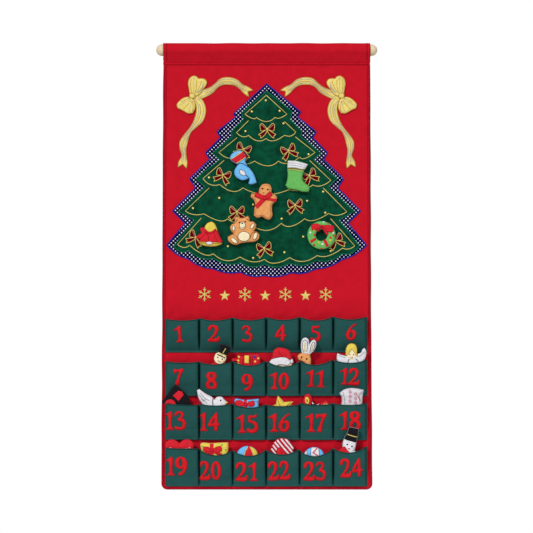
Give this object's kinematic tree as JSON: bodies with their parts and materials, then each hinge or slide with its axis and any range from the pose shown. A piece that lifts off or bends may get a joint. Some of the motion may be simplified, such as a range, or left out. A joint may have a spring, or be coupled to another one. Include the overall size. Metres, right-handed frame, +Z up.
{
  "type": "fabric advent calendar",
  "caption": "Cloth wall hanging on a round wooden rod, with an appliqué tree that carries stuffed ornaments and rows of pleated pockets for more of them.",
  "frame": {"origin": "middle of the hanging rod, on its axis", "axes": "+X along the rod, to the right of someone facing the calendar; +Y into the wall; +Z up"},
  "size_m": [0.478, 0.0479, 0.9644],
  "materials": {
    "wood": "pale planed wood",
    "calico_red": "woven cotton",
    "wadding": "polyester wadding",
    "backing_red": "woven cotton",
    "binding_red": "folded cotton tape",
    "dotted_navy": "navy cotton with white dots",
    "velvet_green": "velvet with gold beads",
    "satin_gold": "satin",
    "felt_blue": "felt",
    "felt_red": "felt",
    "felt_light_green": "felt",
    "felt_white": "felt",
    "felt_tan": "felt",
    "felt_yellow": "felt",
    "bow_burgundy": "velvet edged with gold thread",
    "pocket_green": "woven cotton",
    "felt_black": "felt"
  },
  "bodies": {
    "rod": {"hanging_rod": "wood"},
    "sleeve": {"rod_sleeve": "calico_red"},
    "banner": {"front_panel": "calico_red", "wadding": "wadding", "backing": "backing_red", "edge_binding": "binding_red", "tree_border": "dotted_navy", "tree": "velvet_green", "gold_ribbon_left": "satin_gold", "gold_ribbon_right": "satin_gold", "bow_1": "bow_burgundy", "bow_2": "bow_burgundy", "bow_3": "bow_burgundy", "bow_4": "bow_burgundy", "bow_5": "bow_burgundy", "bow_6": "bow_burgundy", "bow_7": "bow_burgundy", "bow_8": "bow_burgundy", "bow_9": "bow_burgundy", "bow_10": "bow_burgundy", "pocket_row_1": "pocket_green", "pocket_row_2": "pocket_green", "pocket_row_3": "pocket_green", "pocket_row_4": "pocket_green"},
    "horn": {"horn": "felt_blue", "horn_band": "felt_red"},
    "stocking": {"stocking": "felt_light_green", "stocking_cuff": "felt_white"},
    "gingerbread_man": {"gingerbread_man": "felt_tan", "gingerbread_bow": "felt_red"},
    "teddy_bear": {"teddy_bear": "felt_tan"},
    "wreath": {"wreath": "felt_light_green", "wreath_bow": "felt_red"},
    "bell": {"bell": "felt_yellow", "bell_bow": "felt_red"},
    "toy_soldier": {"toy_soldier": "felt_red"},
    "toy_sleigh": {"toy_sleigh": "felt_red"},
    "father_christmas": {"father_christmas": "felt_red"},
    "reindeer": {"reindeer": "felt_tan"},
    "angel": {"angel": "felt_white"},
    "toy_engine": {"toy_engine": "felt_black"},
    "dove": {"dove": "felt_white"},
    "blue_gift": {"blue_gift": "felt_blue", "blue_gift_bow": "felt_red"},
    "star": {"star": "felt_yellow"},
    "mittens": {"mittens": "felt_red"},
    "satin_pouch": {"satin_pouch": "felt_white"},
    "heart": {"heart": "felt_red"},
    "yellow_gift": {"yellow_gift": "felt_yellow", "yellow_gift_bow": "felt_red"},
    "panel_ball": {"panel_ball": "felt_blue"},
    "striped_ball": {"striped_ball": "felt_red", "striped_ball_bow": "felt_red"},
    "blue_ball": {"blue_ball": "felt_blue"},
    "snowman": {"snowman": "felt_white", "snowman_scarf": "felt_red"}
  },
  "joints": [
    {"name": "sleeve_slides_off_rod", "type": "slide", "parent": "rod", "child": "sleeve", "axis": [1, 0, 0], "range_m": [-0.48, 0.48]},
    {"name": "banner_swings_forward", "type": "hinge", "parent": "sleeve", "child": "banner", "pos_m": [0, -0.0034, -0.03145], "axis": [-1, 0, 0], "range_deg": [0, 85]},
    {"name": "horn_lifts_off_bead", "type": "slide", "parent": "banner", "child": "horn", "axis": [0, -1, 0], "range_m": [0, 0.08]},
    {"name": "stocking_lifts_off_bead", "type": "slide", "parent": "banner", "child": "stocking", "axis": [0, -1, 0], "range_m": [0, 0.08]},
    {"name": "gingerbread_man_lifts_off_bead", "type": "slide", "parent": "banner", "child": "gingerbread_man", "axis": [0, -1, 0], "range_m": [0, 0.08]},
    {"name": "teddy_bear_lifts_off_bead", "type": "slide", "parent": "banner", "child": "teddy_bear", "axis": [0, -1, 0], "range_m": [0, 0.08]},
    {"name": "wreath_lifts_off_bead", "type": "slide", "parent": "banner", "child": "wreath", "axis": [0, -1, 0], "range_m": [0, 0.08]},
    {"name": "bell_lifts_off_bead", "type": "slide", "parent": "banner", "child": "bell", "axis": [0, -1, 0], "range_m": [0, 0.08]},
    {"name": "toy_soldier_lifts_out", "type": "slide", "parent": "banner", "child": "toy_soldier", "axis": [0, -0.2032, 0.9791], "range_m": [0, 0.06]},
    {"name": "toy_sleigh_lifts_out", "type": "slide", "parent": "banner", "child": "toy_sleigh", "axis": [0, -0.2032, 0.9791], "range_m": [0, 0.06]},
    {"name": "father_christmas_lifts_out", "type": "slide", "parent": "banner", "child": "father_christmas", "axis": [0, -0.2032, 0.9791], "range_m": [0, 0.06]},
    {"name": "reindeer_lifts_out", "type": "slide", "parent": "banner", "child": "reindeer", "axis": [0, -0.2032, 0.9791], "range_m": [0, 0.06]},
    {"name": "angel_lifts_out", "type": "slide", "parent": "banner", "child": "angel", "axis": [0, -0.2032, 0.9791], "range_m": [0, 0.06]},
    {"name": "toy_engine_lifts_out", "type": "slide", "parent": "banner", "child": "toy_engine", "axis": [0, -0.1981, 0.9802], "range_m": [0, 0.06]},
    {"name": "dove_lifts_out", "type": "slide", "parent": "banner", "child": "dove", "axis": [0, -0.1981, 0.9802], "range_m": [0, 0.06]},
    {"name": "blue_gift_lifts_out", "type": "slide", "parent": "banner", "child": "blue_gift", "axis": [0, -0.1981, 0.9802], "range_m": [0, 0.06]},
    {"name": "star_lifts_out", "type": "slide", "parent": "banner", "child": "star", "axis": [0, -0.1981, 0.9802], "range_m": [0, 0.06]},
    {"name": "mittens_lifts_out", "type": "slide", "parent": "banner", "child": "mittens", "axis": [0, -0.1981, 0.9802], "range_m": [0, 0.06]},
    {"name": "satin_pouch_lifts_out", "type": "slide", "parent": "banner", "child": "satin_pouch", "axis": [0, -0.1981, 0.9802], "range_m": [0, 0.06]},
    {"name": "heart_lifts_out", "type": "slide", "parent": "banner", "child": "heart", "axis": [0, -0.2105, 0.9776], "range_m": [0, 0.06]},
    {"name": "yellow_gift_lifts_out", "type": "slide", "parent": "banner", "child": "yellow_gift", "axis": [0, -0.2105, 0.9776], "range_m": [0, 0.06]},
    {"name": "panel_ball_lifts_out", "type": "slide", "parent": "banner", "child": "panel_ball", "axis": [0, -0.2105, 0.9776], "range_m": [0, 0.06]},
    {"name": "striped_ball_lifts_out", "type": "slide", "parent": "banner", "child": "striped_ball", "axis": [0, -0.2105, 0.9776], "range_m": [0, 0.06]},
    {"name": "blue_ball_lifts_out", "type": "slide", "parent": "banner", "child": "blue_ball", "axis": [0, -0.2105, 0.9776], "range_m": [0, 0.06]},
    {"name": "snowman_lifts_out", "type": "slide", "parent": "banner", "child": "snowman", "axis": [0, -0.2214, 0.9752], "range_m": [0, 0.06]}
  ]
}
